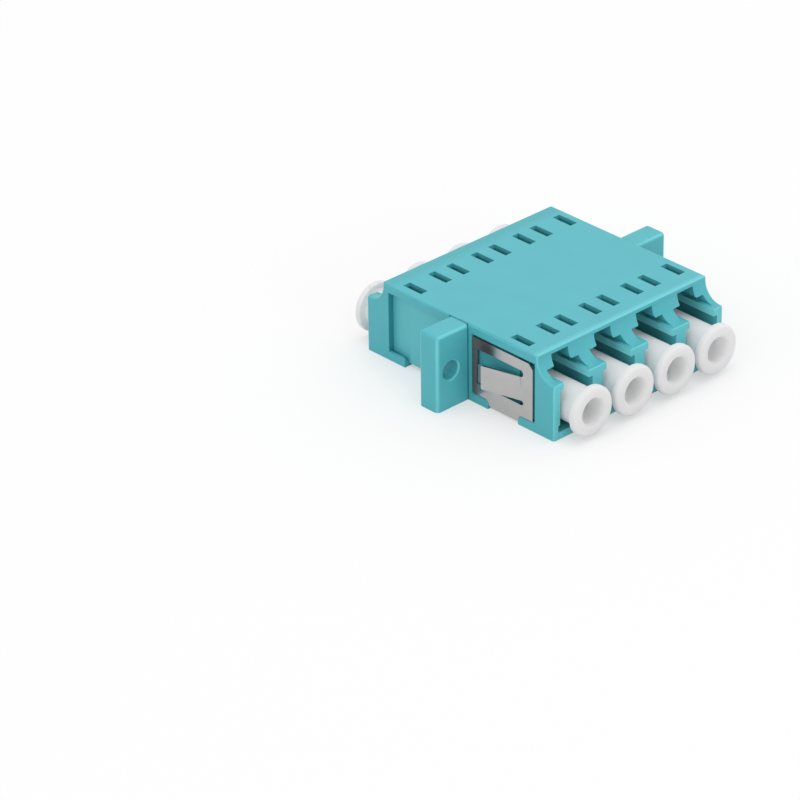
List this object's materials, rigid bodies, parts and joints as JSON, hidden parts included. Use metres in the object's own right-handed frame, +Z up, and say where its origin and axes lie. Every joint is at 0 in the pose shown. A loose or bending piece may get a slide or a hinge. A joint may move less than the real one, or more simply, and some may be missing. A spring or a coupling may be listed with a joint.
{
  "type": "lc fibre adapter",
  "caption": "Panel adapter that joins small fibre plugs end to end: flat moulded body with keyed ports at both ends, two screw ears, a side spring clip and pull-out round dust caps.",
  "frame": {"origin": "centre of the underside, midway between the two rows of ports", "axes": "+X along the row of ports, -Y out of the ports on the spring clip's half, +Z up"},
  "size_m": [0.0342, 0.0332, 0.0091],
  "materials": {
    "housing_plastic": "satin moulded plastic, blue-green",
    "clip_steel": "smooth spring steel",
    "sleeve_ceramic": "polished white ceramic",
    "holder_plastic": "satin moulded plastic, blue-green",
    "cap_plastic": "soft white plastic"
  },
  "bodies": {
    "adapter": {"housing": "housing_plastic", "spring_clip": "clip_steel", "sleeve_1": "sleeve_ceramic", "front_holder_1": "holder_plastic", "rear_holder_1": "holder_plastic", "sleeve_2": "sleeve_ceramic", "front_holder_2": "holder_plastic", "rear_holder_2": "holder_plastic", "sleeve_3": "sleeve_ceramic", "front_holder_3": "holder_plastic", "rear_holder_3": "holder_plastic", "sleeve_4": "sleeve_ceramic", "front_holder_4": "holder_plastic", "rear_holder_4": "holder_plastic"},
    "front_cap_1": {"front_cap_1": "cap_plastic"},
    "front_cap_2": {"front_cap_2": "cap_plastic"},
    "front_cap_3": {"front_cap_3": "cap_plastic"},
    "front_cap_4": {"front_cap_4": "cap_plastic"},
    "rear_cap_1": {"rear_cap_1": "cap_plastic"},
    "rear_cap_2": {"rear_cap_2": "cap_plastic"},
    "rear_cap_3": {"rear_cap_3": "cap_plastic"},
    "rear_cap_4": {"rear_cap_4": "cap_plastic"}
  },
  "joints": [
    {"name": "front_cap_1_pull", "type": "slide", "parent": "adapter", "child": "front_cap_1", "axis": [0, -1, 0], "range_m": [0, 0.02]},
    {"name": "front_cap_2_pull", "type": "slide", "parent": "adapter", "child": "front_cap_2", "axis": [0, -1, 0], "range_m": [0, 0.02]},
    {"name": "front_cap_3_pull", "type": "slide", "parent": "adapter", "child": "front_cap_3", "axis": [0, -1, 0], "range_m": [0, 0.02]},
    {"name": "front_cap_4_pull", "type": "slide", "parent": "adapter", "child": "front_cap_4", "axis": [0, -1, 0], "range_m": [0, 0.02]},
    {"name": "rear_cap_1_pull", "type": "slide", "parent": "adapter", "child": "rear_cap_1", "axis": [0, 1, 0], "range_m": [0, 0.02]},
    {"name": "rear_cap_2_pull", "type": "slide", "parent": "adapter", "child": "rear_cap_2", "axis": [0, 1, 0], "range_m": [0, 0.02]},
    {"name": "rear_cap_3_pull", "type": "slide", "parent": "adapter", "child": "rear_cap_3", "axis": [0, 1, 0], "range_m": [0, 0.02]},
    {"name": "rear_cap_4_pull", "type": "slide", "parent": "adapter", "child": "rear_cap_4", "axis": [0, 1, 0], "range_m": [0, 0.02]}
  ]
}
